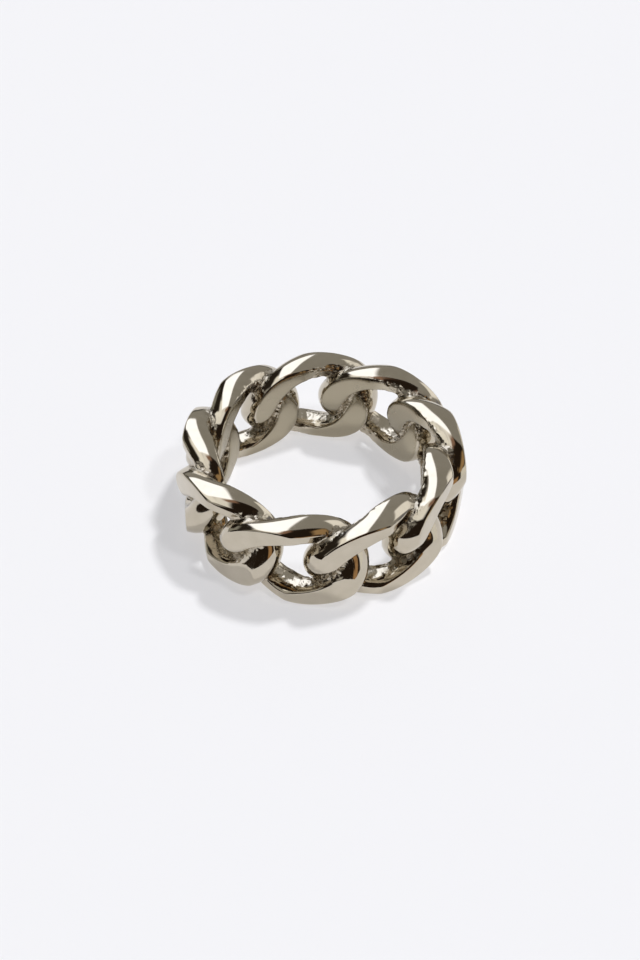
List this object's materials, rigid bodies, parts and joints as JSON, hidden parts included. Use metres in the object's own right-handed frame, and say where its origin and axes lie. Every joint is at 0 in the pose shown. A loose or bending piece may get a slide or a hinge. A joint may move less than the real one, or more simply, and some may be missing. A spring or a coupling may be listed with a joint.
{
  "type": "chain link ring",
  "caption": "Finger ring of interlocking twisted curb links, with flat polished facets outside and a round hole for the finger.",
  "frame": {"origin": "centre of the finger hole, halfway across the band", "axes": "+Z along the finger's axis, out of the hole; +X through the middle of link_1"},
  "size_m": [0.025, 0.0254, 0.0082],
  "materials": {
    "white_metal": "polished plated white metal with a faint warm tint, satin inside, grainy as cast in the recesses"
  },
  "bodies": {
    "root": {"link_1": "white_metal", "link_2": "white_metal", "link_3": "white_metal", "link_4": "white_metal", "link_5": "white_metal", "link_6": "white_metal", "link_7": "white_metal", "link_8": "white_metal", "link_9": "white_metal"}
  },
  "joints": []
}
